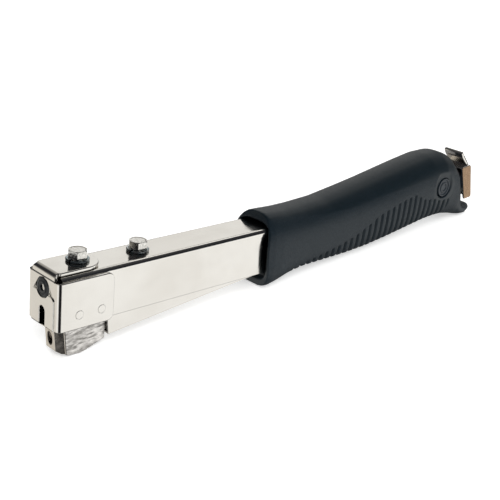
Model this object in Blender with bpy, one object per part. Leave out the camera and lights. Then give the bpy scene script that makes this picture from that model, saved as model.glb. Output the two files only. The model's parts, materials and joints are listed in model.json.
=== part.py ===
"""Hammer tacker (slap stapler), built from separate pieces.

Lengths below are in millimetres in the channel frame: X runs back from the striking face, Z is up
from the top of the upper channel, and Y is across, with the left side at -Y. The empty tool_frame
turns that frame so that the nose and the heel of the grip stand on Z = 0 together.
"""

import math

import bmesh
import bpy
import numpy as np
from mathutils import Matrix, Vector

MM = 0.001
GAP = 0.3  # clearance between neighbouring pieces
SLIP = 0.02  # keeps faces that a Boolean joins from lying in one plane

# Upper channel, an inverted U of sheet steel
CHANNEL_HALF = 10.0
CHANNEL_WALL = 1.2
CHANNEL_DEPTH = 23.5
CHANNEL_FRONT = 2.9
CHANNEL_WEB_END = 176.0
CHANNEL_EDGE_RADIUS = 2.2

# Head cap, a folded sheet over the front of the channel
CAP_HALF = 12.0
CAP_SHEET = 1.7
CAP_BOTTOM = -24.2
CAP_WING_TOP = -1.5
CAP_WING_END = 28.6
CAP_TAB_HALF = 8.8
CAP_TAB_END = 26.0
CAP_TAB_CORNER = 8.6
CAP_PANEL_STEP = 0.5
CAP_PANEL_HALF = 8.4
CAP_PANEL_TOP = -9.2
CAP_BEND_RADIUS = 2.4
SLOT_HALF = 2.4
SLOT_TOP = -14.9
RIVET_STATIONS = (10.6, 22.1)
RIVET_Z = -17.6
RIVET_RADIUS = 2.1

# Fasteners of the head
BOLT_STATIONS = (17.0, 49.6)
BOLT_SHANK = 2.5
BOLT_HEX_ACROSS = 8.0
BOLT_HEAD_HEIGHT = 3.4
WASHER_RADIUS = 5.2
WASHER_HEIGHT = 1.5
SCREW_Z = -6.7
SCREW_HEAD_RADIUS = 4.7
SCREW_SHANK = 2.0

# Driver
BLADE_FRONT = 7.2
BLADE_THICKNESS = 0.9
BLADE_HALF = 5.0
DRIVER_BLOCK_FRONT = 8.4
DRIVER_BLOCK_END = 25.0
DRIVER_BLOCK_BOTTOM = -9.8

# Magazine, which turns on the stub pins near the heel of the grip
PIVOT_X = 264.7
PIVOT_Z = 1.77
PIVOT_RADIUS = 3.0
PIVOT_CAP_RADIUS = 5.4
MAGAZINE_TILT = math.atan(0.1)
MAGAZINE_HALF = 8.5
MAGAZINE_WALL = 1.2
MAGAZINE_LOW = -11.3  # underside, measured square to the magazine from the pivot
MAGAZINE_TOP = -1.1
MAGAZINE_FRONT = -238.2
MAGAZINE_END = 20.8
RAIL_HALF = 4.3
RAIL_WALL = 0.9
RAIL_LOW = -9.8
RAIL_TOP = -3.3
RAIL_END = 10.3

# Nose of the magazine
NOSE_HALF = 6.75
NOSE_END = 45.0
NOSE_PLATE_HALF = 3.4
NOSE_TOP = -25.2

# Pusher, a rod with an end block and a follower that the spring drives forward
ROD_AXIS = -6.4
ROD_RADIUS = 1.2
FOLLOWER_FRONT = -245.7
FOLLOWER_LENGTH = 22.0
END_BLOCK_FRONT = 12.3
END_BLOCK_END = 32.3
SPRING_RADIUS = 1.9
SPRING_WIRE = 0.3
SPRING_TURNS = 26
LATCH_PIN_X = 295.6
LATCH_PIN_Z = -1.5

# Grip: station X, top, bottom, half width, squareness above and below the widest line
GRIP_FRONT = 119.5
GRIP_STATIONS = (
    (119.5, 4.7, -31.2, 12.9, 2.5, 3.9),
    (122.0, 5.6, -31.9, 13.6, 2.5, 3.9),
    (126.0, 6.2, -32.3, 14.3, 2.6, 3.8),
    (132.0, 6.0, -31.2, 14.6, 2.6, 3.6),
    (141.0, 5.6, -28.9, 14.4, 2.6, 3.4),
    (152.0, 5.8, -27.8, 14.1, 2.6, 3.2),
    (170.0, 6.9, -27.8, 14.0, 2.6, 3.0),
    (188.0, 9.5, -27.6, 14.2, 2.6, 2.9),
    (205.0, 12.2, -26.8, 14.7, 2.5, 2.7),
    (222.0, 15.2, -24.9, 15.1, 2.5, 2.6),
    (240.0, 18.2, -22.2, 15.3, 2.5, 2.6),
    (256.0, 20.6, -20.0, 15.4, 2.5, 2.6),
    (268.0, 20.9, -19.3, 15.2, 2.5, 2.6),
    (276.0, 18.4, -19.5, 14.6, 2.5, 2.6),
    (282.5, 12.2, -20.3, 13.8, 2.6, 2.7),
    (287.0, 2.6, -21.0, 12.5, 2.8, 2.8),
    (290.0, -8.5, -21.6, 11.6, 2.8, 2.8),
    (292.5, -13.4, -21.9, 11.3, 2.6, 2.6),
    (297.5, -15.1, -22.2, 10.9, 2.5, 2.5),
    (303.0, -14.7, -21.6, 9.0, 2.4, 2.4),
)
GRIP_RING = 40
# Mouth of the grip, a shallow funnel round the channel, laid out like the stations
GRIP_MOUTH = ((117.0, 5.2, -30.6, 13.4, 2.6, 4.0), (127.0, 0.6, -27.2, 10.7, 5.0, 5.0))
# Front edge of the grip seen from the side, as X and Z
GRIP_RIM = (
    (125.6, 8.0), (124.9, 5.0), (123.2, 0.5), (122.1, -5.0), (121.6, -11.0), (122.1, -18.0), (123.0, -26.0),
    (124.2, -34.0),
)

# The plane that the rear edge of the nose face and the heel of the grip rest on
REST_NOSE = (15.5, -39.45)
REST_HEEL = (297.5, -22.2)
MIDDLE_X = 150.71  # half the length when it rests, so that the origin is under the middle


def rest_tilt():
    """Angle that brings the line from nose to heel level."""
    return math.atan2(REST_HEEL[1] - REST_NOSE[1], REST_HEEL[0] - REST_NOSE[0])


def material(name, colour, roughness, metallic):
    made = bpy.data.materials.new(name)
    made.use_nodes = True
    shader = made.node_tree.nodes["Principled BSDF"]
    shader.inputs["Base Color"].default_value = (*colour, 1.0)
    shader.inputs["Roughness"].default_value = roughness
    shader.inputs["Metallic"].default_value = metallic
    return made


def rounded(points, segments=5):
    """An outline of (a, b, radius) points with each corner that has a radius turned into an arc."""
    outline = []
    count = len(points)
    for i, (a, b, radius) in enumerate(points):
        here = Vector((a, b))
        if radius <= 0:
            outline.append(here)
            continue
        before = (Vector(points[i - 1][:2]) - here).normalized()
        after = (Vector(points[(i + 1) % count][:2]) - here).normalized()
        half_angle = before.angle(after) / 2
        reach = radius / math.tan(half_angle)
        centre = here + (before + after).normalized() * (radius / math.sin(half_angle))
        start = here + before * reach - centre
        sweep = math.pi - 2 * half_angle
        turn = math.copysign(sweep, start.x * (after.y - before.y) - start.y * (after.x - before.x))
        for k in range(segments + 1):
            angle = turn * k / segments
            c, s = math.cos(angle), math.sin(angle)
            outline.append(centre + Vector((c * start.x - s * start.y, s * start.x + c * start.y)))
    return [tuple(p) for p in outline]


AXIS_ORDER = {"X": (2, 0, 1), "Y": (0, 2, 1), "Z": (0, 1, 2)}


def prism(outline, axis, low, high):
    """A closed prism: the outline lies across the axis (YZ, XZ or XY) and runs from low to high."""
    mesh = bmesh.new()
    order = AXIS_ORDER[axis]
    rings = []
    for level in (low, high):
        ring = []
        for a, b in outline:
            point = (a, b, level)
            ring.append(mesh.verts.new([point[i] for i in order]))
        rings.append(ring)
    for ring in rings:
        mesh.faces.new(ring)
    count = len(outline)
    for i in range(count):
        j = (i + 1) % count
        mesh.faces.new((rings[0][i], rings[0][j], rings[1][j], rings[1][i]))
    bmesh.ops.recalc_face_normals(mesh, faces=mesh.faces)
    return mesh


def block(x, y, z):
    """A box from three (low, high) pairs."""
    outline = [(x[0], y[0]), (x[1], y[0]), (x[1], y[1]), (x[0], y[1])]
    return prism(outline, "Z", z[0], z[1])


def disc(centre, radius, low, high, axis, segments=32):
    """A cylinder along an axis; centre holds its two other coordinates."""
    outline = []
    for k in range(segments):
        angle = 2 * math.pi * k / segments
        outline.append((centre[0] + radius * math.cos(angle), centre[1] + radius * math.sin(angle)))
    return prism(outline, axis, low, high)


def turned(profile, segments=32):
    """A solid of revolution round Z from (radius, z) points that start and end on the axis."""
    mesh = bmesh.new()
    rings = []
    for radius, z in profile:
        if radius == 0:
            rings.append([mesh.verts.new((0, 0, z))])
            continue
        ring = []
        for k in range(segments):
            angle = 2 * math.pi * k / segments
            ring.append(mesh.verts.new((radius * math.cos(angle), radius * math.sin(angle), z)))
        rings.append(ring)
    for first, second in zip(rings, rings[1:]):
        for k in range(segments):
            n = (k + 1) % segments
            low, high = len(first), len(second)
            face = [first[k % low], first[n % low], second[n % high], second[k % high]]
            mesh.faces.new(list(dict.fromkeys(face)))
    bmesh.ops.recalc_face_normals(mesh, faces=mesh.faces)
    return mesh


def loft(rings):
    """A closed skin through rings of equal length, capped at both ends."""
    mesh = bmesh.new()
    loops = [[mesh.verts.new(point) for point in ring] for ring in rings]
    for first, second in zip(loops, loops[1:]):
        count = len(first)
        for i in range(count):
            j = (i + 1) % count
            mesh.faces.new((first[i], first[j], second[j], second[i]))
    mesh.faces.new(loops[0])
    mesh.faces.new(loops[-1])
    bmesh.ops.recalc_face_normals(mesh, faces=mesh.faces)
    return mesh


def moved(mesh, matrix):
    bmesh.ops.transform(mesh, matrix=matrix, verts=mesh.verts)
    return mesh


def magazine_matrix():
    """From the magazine's own axes (origin on its pivot) to the channel frame."""
    return Matrix.Translation((PIVOT_X, 0, PIVOT_Z)) @ Matrix.Rotation(-MAGAZINE_TILT, 4, "Y")


def in_magazine(x, z):
    """A channel-frame place in the magazine's own axes."""
    local = magazine_matrix().inverted() @ Vector((x, 0, z))
    return local.x, local.z


class Builder:
    """Turns meshes in millimetres into named objects in metres under the tool frame."""

    def __init__(self):
        self.frame = bpy.data.objects.new("tool_frame", None)
        bpy.context.collection.objects.link(self.frame)
        tilt = rest_tilt()
        turn = Matrix.Rotation(tilt, 4, "Y")
        drop = turn @ Vector((REST_NOSE[0], 0, REST_NOSE[1]))
        self.frame.rotation_euler = (0, tilt, 0)
        self.frame.location = (-MIDDLE_X * MM, 0, -drop.z * MM)

    def add(self, name, mesh, look, origin=(0, 0, 0), smooth=35):
        """An object with its origin at a channel-frame place."""
        shift = Matrix.Translation([-c for c in origin])
        bmesh.ops.transform(mesh, matrix=Matrix.Scale(MM, 4) @ shift, verts=mesh.verts)
        data = bpy.data.meshes.new(name)
        mesh.to_mesh(data)
        mesh.free()
        data.materials.append(look)
        data.shade_smooth()
        data.set_sharp_from_angle(angle=math.radians(smooth))
        made = bpy.data.objects.new(name, data)
        bpy.context.collection.objects.link(made)
        made.parent = self.frame
        made.location = [c * MM for c in origin]
        return made

    def helper(self, target, mesh, operation):
        index = len(target.modifiers)
        origin = [c / MM for c in target.location]
        made = self.add(f"{target.name}_{operation.lower()}_{index}", mesh, target.data.materials[0], origin)
        made.hide_render = True
        made.display_type = "WIRE"
        modifier = target.modifiers.new(operation.title(), "BOOLEAN")
        modifier.operation = operation
        modifier.object = made
        return made

    def cut(self, target, *meshes):
        for mesh in meshes:
            self.helper(target, mesh, "DIFFERENCE")

    def join(self, target, mesh):
        return self.helper(target, mesh, "UNION")

    def keep(self, target, mesh):
        self.helper(target, mesh, "INTERSECT")

    def bevel(self, target, width, segments=2, angle=40):
        modifier = target.modifiers.new("Edge", "BEVEL")
        modifier.width = width * MM
        modifier.segments = segments
        modifier.limit_method = "ANGLE"
        modifier.angle_limit = math.radians(angle)


# --- Frame and head ---------------------------------------------------------------------------


def channel_section(half, wall, low, radius):
    """Inverted U across Y and Z."""
    inner = half - wall
    inner_radius = max(radius - wall, 0.4)
    return rounded([
        (-half, low, 0), (-half, 0, radius), (half, 0, radius), (half, low, 0),
        (inner, low, 0), (inner, -wall, inner_radius), (-inner, -wall, inner_radius), (-inner, low, 0),
    ], 4)


def side_arm(sign):
    """Side wall of the channel from the head to the pivot pin, tapered inside the grip."""
    outline = rounded([
        (CHANNEL_WEB_END - 30, -4, 0), (CHANNEL_WEB_END, -2.5, 0), (PIVOT_X - 18, 5.5, 4), (PIVOT_X, 8.0, 4),
        (PIVOT_X + 8, 5.0, 4), (PIVOT_X + 8, -4.5, 4), (PIVOT_X - 5, -6.5, 4), (205, -14.5, 0),
        (CHANNEL_WEB_END - 30, -14.5, 0),
    ], 4)
    span = sorted((sign * CHANNEL_HALF, sign * (CHANNEL_HALF - CHANNEL_WALL)))
    return prism(outline, "Y", *span)


def make_upper_channel(build, look):
    section = channel_section(CHANNEL_HALF, CHANNEL_WALL, -CHANNEL_DEPTH, CHANNEL_EDGE_RADIUS)
    channel = build.add("upper_channel", prism(section, "X", CHANNEL_FRONT, CHANNEL_WEB_END), look)
    heel = rounded([
        (140, -CHANNEL_DEPTH - 4, 0), (CHANNEL_WEB_END + 4, -CHANNEL_DEPTH - 4, 0),
        (CHANNEL_WEB_END + 4, -17.3, 0), (140, -CHANNEL_DEPTH, 0),
    ])
    build.cut(channel, prism(heel, "Y", -CHANNEL_HALF - 2, CHANNEL_HALF + 2))
    build.join(channel, side_arm(-1))
    build.join(channel, side_arm(1))
    for station in BOLT_STATIONS:
        build.cut(channel, disc((station, 0), BOLT_SHANK + GAP, -CHANNEL_WALL - 1, 1, "Z", 24))
    for station in RIVET_STATIONS:
        build.cut(channel, disc((station, RIVET_Z), RIVET_RADIUS, -12, 12, "Y", 20))
    build.cut(channel, disc((PIVOT_X, PIVOT_Z), PIVOT_RADIUS + GAP, -12, 12, "Y", 28))
    return channel


def keyhole():
    """Central slot of the front plate, with an arched top and open below."""
    points = [(-SLOT_HALF, CAP_BOTTOM - 3), (SLOT_HALF, CAP_BOTTOM - 3)]
    for k in range(9):
        angle = math.pi * k / 8
        points.append((SLOT_HALF * math.cos(angle), SLOT_TOP - SLOT_HALF + SLOT_HALF * math.sin(angle)))
    return prism(points, "X", -1, 4)


def cap_wrap():
    """Front plate and both wings, bent from one strip, as an outline across X and Y."""
    inner, end = CAP_HALF - CAP_SHEET, CAP_WING_END + 5
    return rounded([
        (end, -CAP_HALF, 0), (0, -CAP_HALF, CAP_BEND_RADIUS),
        (0, CAP_HALF, CAP_BEND_RADIUS), (end, CAP_HALF, 0),
        (end, inner, 0), (CAP_SHEET, inner, 0.7), (CAP_SHEET, -inner, 0.7), (end, -inner, 0),
    ], 6)


def cap_fold():
    """Upper part of the front plate, folded back over the channel, as an outline across X and Z."""
    front, back, top = SLIP, CAP_SHEET - SLIP, GAP + CAP_SHEET
    return rounded([
        (front, CAP_WING_TOP - 2, 0), (front, top, CAP_BEND_RADIUS), (CAP_TAB_END + 5, top, 0),
        (CAP_TAB_END + 5, GAP, 0), (back, GAP, 0.6), (back, CAP_WING_TOP - 2, 0),
    ], 6)


def make_head_cap(build, look):
    """Sheet folded over the front of the channel: front plate, two wings and a top tab."""
    wing = rounded([
        (-5, CAP_BOTTOM, 0), (CAP_WING_END, CAP_BOTTOM, 3.2),
        (CAP_WING_END, CAP_WING_TOP, 3.6), (-5, CAP_WING_TOP, 0),
    ], 7)
    tab = rounded([
        (-5, -CAP_TAB_HALF, 0), (CAP_TAB_END, -CAP_TAB_HALF, CAP_TAB_CORNER),
        (CAP_TAB_END, CAP_TAB_HALF, CAP_TAB_CORNER), (-5, CAP_TAB_HALF, 0),
    ], 12)
    cap = build.add("head_cap", prism(cap_wrap(), "Z", CAP_BOTTOM - 3, 4), look)
    build.keep(cap, prism(wing, "Y", -CAP_HALF - 3, CAP_HALF + 3))
    fold = build.join(cap, prism(cap_fold(), "Y", -CAP_HALF - 2, CAP_HALF + 2))
    build.keep(fold, prism(tab, "Z", -8, 6))
    panel = rounded([
        (-CAP_PANEL_HALF, CAP_BOTTOM + SLIP, 0), (-CAP_PANEL_HALF, CAP_PANEL_TOP, 2),
        (CAP_PANEL_HALF, CAP_PANEL_TOP, 2), (CAP_PANEL_HALF, CAP_BOTTOM + SLIP, 0),
    ], 4)
    build.join(cap, prism(panel, "X", -CAP_PANEL_STEP, 0.7))
    pocket = block((CAP_SHEET - CAP_PANEL_STEP, 4), (-6.9, 6.9), (CAP_BOTTOM - 2, CAP_PANEL_TOP - 0.9))
    build.cut(cap, pocket, keyhole())
    build.cut(cap, disc((0, SCREW_Z), SCREW_HEAD_RADIUS + 0.15, -4, 0.9, "X", 32))
    build.cut(cap, disc((0, SCREW_Z), SCREW_SHANK + GAP, -1, 4, "X", 24))
    build.cut(cap, disc((BOLT_STATIONS[0], 0), BOLT_SHANK + GAP, -1, 3, "Z", 24))
    for station in RIVET_STATIONS:
        build.cut(cap, disc((station, RIVET_Z), RIVET_RADIUS, -14, 14, "Y", 20))
    for sign in (-1, 1):
        build.cut(cap, disc((1.5, sign * (CAP_TAB_HALF + 0.5)), 1.4, CAP_WING_TOP - 1.2, 4, "Z", 20))
    return cap


def make_rivets(build, look):
    """Short rivets that hold the wings to the channel, flush outside."""
    for side, sign in (("left", -1), ("right", 1)):
        for place, station in zip(("front", "rear"), RIVET_STATIONS):
            outer, inner = sign * (CAP_HALF + 0.12), sign * (CHANNEL_HALF - CHANNEL_WALL)
            span = sorted((outer, inner))
            shape = disc((station, RIVET_Z), RIVET_RADIUS - 0.15, *span, "Y", 20)
            build.add(f"cap_rivet_{side}_{place}", shape, look, (station, 0, RIVET_Z))


def hex_outline(across):
    reach = across / math.sqrt(3)
    angles = [math.radians(60 * k) for k in range(6)]
    return [(reach * math.cos(a), reach * math.sin(a)) for a in angles]


def make_bolt(build, name, station, seat, end, look):
    """Hex bolt standing on its washer, its shank reaching down to end."""
    head_low = seat + WASHER_HEIGHT + GAP
    head = prism(hex_outline(BOLT_HEX_ACROSS), "Z", head_low, head_low + BOLT_HEAD_HEIGHT)
    moved(head, Matrix.Translation((station, 0, 0)) @ Matrix.Rotation(math.radians(-5), 4, "Z"))
    bolt = build.add(name, head, look, (station, 0, 0))
    build.join(bolt, disc((station, 0), BOLT_SHANK, end, head_low + 0.5, "Z", 24))
    build.bevel(bolt, 0.35, 2)


def make_washer(build, name, station, seat, look):
    ring = disc((station, 0), WASHER_RADIUS, seat + 0.05, seat + WASHER_HEIGHT, "Z", 36)
    washer = build.add(name, ring, look, (station, 0, 0))
    build.cut(washer, disc((station, 0), BOLT_SHANK + GAP, seat - 2, seat + 3, "Z", 24))
    build.bevel(washer, 0.25, 2)


def make_spring_nut(build, look):
    """Square nut that clamps the return spring under the channel."""
    x = BOLT_STATIONS[1]
    nut = block((x - 4.2, x + 4.2), (-4.2, 4.2), (-5.9, -3.0))
    nut = build.add("spring_nut", nut, look, (x, 0, 0))
    build.cut(nut, disc((x, 0), BOLT_SHANK + 0.2, -8, 0, "Z", 24))
    build.bevel(nut, 0.3, 2)


def make_return_spring(build, look):
    """Leaf spring: clamped under the channel, its two prongs press the magazine walls down."""
    x = BOLT_STATIONS[1]
    leaf = [
        (x - 5.5, -1.5), (x + 8, -1.5), (x + 26, -7.0), (x + 44, -13.1), (x + 50, -14.6),
        (x + 56, -13.8), (x + 56, -14.6), (x + 50, -15.4), (x + 43.6, -13.9), (x + 25.6, -7.9),
        (x + 7.7, -2.5), (x - 5.5, -2.5),
    ]
    spring = build.add("return_spring", prism(leaf, "Y", -8.2, 8.2), look, (x, 0, 0))
    build.cut(spring, disc((x, 0), BOLT_SHANK + GAP, -4, 0, "Z", 24))
    build.cut(spring, block((x + 14, x + 60), (-6.0, 6.0), (-20, 0)))


def make_driver(build, steel, dark):
    """Blade, the block that backs it, and the socket screw that clamps both."""
    blade_end = BLADE_FRONT + BLADE_THICKNESS
    blade = block((BLADE_FRONT, blade_end), (-BLADE_HALF, BLADE_HALF), (CAP_BOTTOM, -1.6))
    blade = build.add("driver_blade", blade, steel)
    build.cut(blade, disc((0, SCREW_Z), SCREW_SHANK + GAP, 4, 12, "X", 24))
    outer = CHANNEL_HALF - CHANNEL_WALL - GAP
    backing = block((DRIVER_BLOCK_FRONT, DRIVER_BLOCK_END), (-outer, outer), (DRIVER_BLOCK_BOTTOM, -1.6))
    backing = build.add("driver_block", backing, steel)
    build.bevel(backing, 0.8, 3)
    build.cut(backing, disc((0, SCREW_Z), SCREW_SHANK + 0.2, 7, 22, "X", 24))
    build.cut(backing, disc((BOLT_STATIONS[0], 0), BOLT_SHANK + 0.2, -4.2, 0, "Z", 24))
    screw = turned([
        (0, -0.6), (1.8, -0.6), (1.8, 1.35), (3.3, 1.35), (SCREW_HEAD_RADIUS, 0.85), (SCREW_HEAD_RADIUS, 0.0),
        (SCREW_SHANK, 0.0), (SCREW_SHANK, -20.0), (0, -20.0),
    ], 28)
    place = Matrix.Translation((0.8, 0, SCREW_Z)) @ Matrix.Rotation(math.radians(-90), 4, "Y")
    build.add("driver_screw", moved(screw, place), dark, (0, 0, SCREW_Z))


# --- Grip -------------------------------------------------------------------------------------


def grip_ring(x, top, bottom, half, upper, lower):
    """One superellipse across Y and Z, rounder above than below."""
    centre, reach = (top + bottom) / 2, (top - bottom) / 2
    ring = []
    for k in range(GRIP_RING):
        angle = 2 * math.pi * k / GRIP_RING
        c, s = math.cos(angle), math.sin(angle)
        power = upper if s > 0 else lower
        y = half * math.copysign(abs(c) ** (2 / power), c)
        z = centre + reach * math.copysign(abs(s) ** (2 / power), s)
        ring.append((x, y, z))
    return ring


def make_grip(build, look):
    rings = [grip_ring(*station) for station in GRIP_STATIONS]
    grip = build.add("grip", loft(rings), look, (PIVOT_X, 0, PIVOT_Z))
    ahead = [(GRIP_FRONT - 5, GRIP_RIM[0][1]), *GRIP_RIM, (GRIP_FRONT - 5, GRIP_RIM[-1][1])]
    build.cut(grip, prism(ahead, "Y", -20, 20), loft([grip_ring(*station) for station in GRIP_MOUTH]))
    hollow = [
        (GRIP_FRONT - 5, GAP), (CHANNEL_WEB_END, GAP), (PIVOT_X - 18, 6.6), (PIVOT_X - 4, 8.6), (310, 10.2),
        (310, -15.6), (290, -15.5), (PIVOT_X, -12.6), (205, -17.0), (CHANNEL_WEB_END, -20.0), (140, -24.6),
        (GRIP_FRONT - 5, -26.8),
    ]
    build.cut(grip, prism(hollow, "Y", -CHANNEL_HALF - GAP, CHANNEL_HALF + GAP))
    build.cut(grip, disc((PIVOT_X, PIVOT_Z), PIVOT_RADIUS + GAP, -20, 20, "Y", 28))
    for sign in (-1, 1):
        span = sorted((sign * 12.9, sign * 20))
        dish = sorted((sign * 14.1, sign * 20))
        build.cut(grip, disc((PIVOT_X, PIVOT_Z), PIVOT_CAP_RADIUS + GAP, *span, "Y", 36))
        build.cut(grip, disc((PIVOT_X - 0.8, PIVOT_Z + 1.8), PIVOT_CAP_RADIUS + 2.4, *dish, "Y", 40))
    return grip


def make_pivot(build, steel, plastic):
    """Stub pins of the magazine pivot and the moulded plugs that cover them."""
    for side, sign in (("left", -1), ("right", 1)):
        span = sorted((sign * (MAGAZINE_HALF - MAGAZINE_WALL), sign * 12.9))
        pin = disc((PIVOT_X, PIVOT_Z), PIVOT_RADIUS, *span, "Y", 28)
        build.add(f"pivot_pin_{side}", pin, steel, (PIVOT_X, 0, PIVOT_Z))
        plug = turned([
            (0, 0.9), (1.9, 0.9), (2.3, 1.3), (2.9, 1.3), (3.3, 0.9), (4.2, 0.9), (4.6, 1.4),
            (PIVOT_CAP_RADIUS, 1.4),
            (PIVOT_CAP_RADIUS, 0), (0, 0),
        ], 32)
        turn = Matrix.Rotation(math.radians(-90 * sign), 4, "X")
        place = Matrix.Translation((PIVOT_X, sign * 13.2, PIVOT_Z)) @ turn
        build.add(f"pivot_cap_{side}", moved(plug, place), plastic, (PIVOT_X, 0, PIVOT_Z))


# --- Magazine ---------------------------------------------------------------------------------


def magazine_side():
    """Side outline of the magazine channel in its own axes, with ears up to the pivot."""
    return rounded([
        (MAGAZINE_FRONT, MAGAZINE_LOW, 0), (MAGAZINE_END, MAGAZINE_LOW, 0), (MAGAZINE_END, MAGAZINE_TOP, 0),
        (16, MAGAZINE_TOP, 3), (9, 6.4, 4), (-9, 6.4, 4), (-26, MAGAZINE_TOP, 6),
        (MAGAZINE_FRONT, MAGAZINE_TOP, 0),
    ], 4)


def make_magazine_channel(build, look):
    outer = prism(magazine_side(), "Y", -MAGAZINE_HALF, MAGAZINE_HALF)
    channel = build.add("magazine_channel", moved(outer, magazine_matrix()), look, (PIVOT_X, 0, PIVOT_Z))
    inner = MAGAZINE_HALF - MAGAZINE_WALL
    length = (MAGAZINE_FRONT - 5, MAGAZINE_END + 5)
    trough = block(length, (-inner, inner), (MAGAZINE_LOW + MAGAZINE_WALL, 12))
    build.cut(channel, moved(trough, magazine_matrix()))
    build.cut(channel, disc((PIVOT_X, PIVOT_Z), PIVOT_RADIUS + GAP, -12, 12, "Y", 28))
    return channel


def make_staple_rail(build, look):
    """Narrow U that the staples straddle; the rod and spring run inside it."""
    outer = block((FOLLOWER_FRONT, RAIL_END), (-RAIL_HALF, RAIL_HALF), (RAIL_LOW, RAIL_TOP))
    rail = build.add("staple_rail", moved(outer, magazine_matrix()), look, (PIVOT_X, 0, PIVOT_Z))
    inner = RAIL_HALF - RAIL_WALL
    hollow = block((FOLLOWER_FRONT + 2, RAIL_END + 5), (-inner, inner), (RAIL_LOW + RAIL_WALL, RAIL_TOP + 5))
    build.cut(rail, moved(hollow, magazine_matrix()))


def nose_side():
    """Side outline of the nose block across X and Z, in the channel frame."""
    front_top = 7.0 - 0.1 * (NOSE_TOP + 28)
    return [
        (front_top, NOSE_TOP), (8.0, -38.6), (9.6, -39.1), REST_NOSE, (17.5, -39.0),
        (28.2, -35.4), (28.2, -31.4), (NOSE_END, -29.7), (NOSE_END, -24.0), (32, NOSE_TOP),
    ]


def make_nose_block(build, look):
    body = prism(nose_side(), "Y", -NOSE_HALF, NOSE_HALF)
    nose = build.add("nose_block", body, look, (PIVOT_X, 0, PIVOT_Z))
    build.bevel(nose, 0.5, 2, 50)
    front = in_magazine(10.3, -28.0)[0]
    back = in_magazine(NOSE_END, -28.0)[0]
    floor = RAIL_LOW - GAP
    tunnel = block((front - 12, back + 8), (-5.4, 5.4), (floor, 12))
    build.cut(nose, moved(tunnel, magazine_matrix()))
    exit_slot = block((front - 12, front), (-5.4, 5.4), (floor - 15, 12))
    build.cut(nose, moved(exit_slot, magazine_matrix()))


def nose_plate_outline(front, back):
    """Bevelled front of the nose, across the magazine's X and Y."""
    return [
        (front, -NOSE_PLATE_HALF), (back - 0.3, -NOSE_HALF + 0.1), (back, -NOSE_HALF + 0.1),
        (back, NOSE_HALF - 0.1), (back - 0.3, NOSE_HALF - 0.1), (front, NOSE_PLATE_HALF),
    ]


def make_nose_plate(build, look):
    """Hardened front of the nose: bevelled flanks, an oval window and two guide prongs."""
    low = in_magazine(4.3, -38.3)[1]
    back = in_magazine(6.85, -28.0)[0]
    front = in_magazine(3.5, -28.0)[0]
    top = in_magazine(3.5, -24.6)[1]
    plate = prism(nose_plate_outline(front, back), "Z", low, top)
    plate = build.add("nose_plate", moved(plate, magazine_matrix()), look, (PIVOT_X, 0, PIVOT_Z))
    prong_top = in_magazine(3.5, -17.4)[1]
    for sign in (-1, 1):
        span = sorted((sign * 2.9, sign * 5.4))
        prong = block((front + 1.75, back - 0.4), span, (top - 1.4, prong_top))
        build.join(plate, moved(prong, magazine_matrix()))
    turns = np.linspace(0.1, 0.1 + 2 * math.pi, 25)[:-1]
    window = [(1.9 * math.cos(a), -31.65 + 3.3 * math.sin(a)) for a in turns]
    build.cut(plate, prism(window, "X", 0, 14))
    chamfer = [(front - 1, low + 1.4), (front, low + 1.4), (front + 2.6, low - 0.4), (front - 1, low - 0.4)]
    build.cut(plate, moved(prism(chamfer, "Y", -9, 9), magazine_matrix()))


# --- Pusher and latch -------------------------------------------------------------------------


def make_pusher(build, steel, dark):
    """Rod and end block that draw out to the rear, and the follower that slides on the rod."""
    origin = (PIVOT_X, 0, PIVOT_Z)
    rod = disc((0, ROD_AXIS), ROD_RADIUS, FOLLOWER_FRONT + 3, END_BLOCK_FRONT + 6, "X", 16)
    build.add("pusher_rod", moved(rod, magazine_matrix()), steel, origin)
    inner = MAGAZINE_HALF - MAGAZINE_WALL - GAP
    end = block((END_BLOCK_FRONT, END_BLOCK_END), (-inner, inner), (RAIL_LOW, MAGAZINE_TOP - 0.5))
    end = build.add("pusher_end_block", moved(end, magazine_matrix()), dark, origin)
    socket = disc((0, ROD_AXIS), ROD_RADIUS + 0.2, END_BLOCK_FRONT - 5, END_BLOCK_FRONT + 6.4, "X", 16)
    build.cut(end, moved(socket, magazine_matrix()))
    build.cut(end, disc((LATCH_PIN_X, LATCH_PIN_Z), 1.25, -12, 12, "Y", 20))
    build.add("staple_pusher", follower_mesh(), dark, origin)
    follower = bpy.data.objects["staple_pusher"]
    tail = FOLLOWER_FRONT + FOLLOWER_LENGTH
    front_wall = block((FOLLOWER_FRONT - 2, FOLLOWER_FRONT + 2.4), (-4.45, 4.45), (RAIL_LOW - 2, RAIL_TOP + 0.5))
    bore = disc((0, ROD_AXIS), ROD_RADIUS + GAP, FOLLOWER_FRONT - 5, tail + 5, "X", 16)
    build.cut(follower, moved(front_wall, magazine_matrix()), moved(bore, magazine_matrix()))


def follower_mesh():
    """Saddle over the rail with a core that runs inside it, as an outline across Y and Z."""
    outer, leg, core = 5.2, RAIL_HALF + GAP, RAIL_HALF - RAIL_WALL - GAP
    top, under = MAGAZINE_TOP - 0.5, RAIL_TOP + GAP
    leg_low, core_low = RAIL_LOW + 1.5, RAIL_LOW + RAIL_WALL + GAP
    outline = [
        (-outer, leg_low), (-outer, top), (outer, top), (outer, leg_low), (leg, leg_low), (leg, under),
        (core, under), (core, core_low), (-core, core_low), (-core, under), (-leg, under), (-leg, leg_low),
    ]
    return moved(prism(outline, "X", FOLLOWER_FRONT, FOLLOWER_FRONT + FOLLOWER_LENGTH), magazine_matrix())


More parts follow.
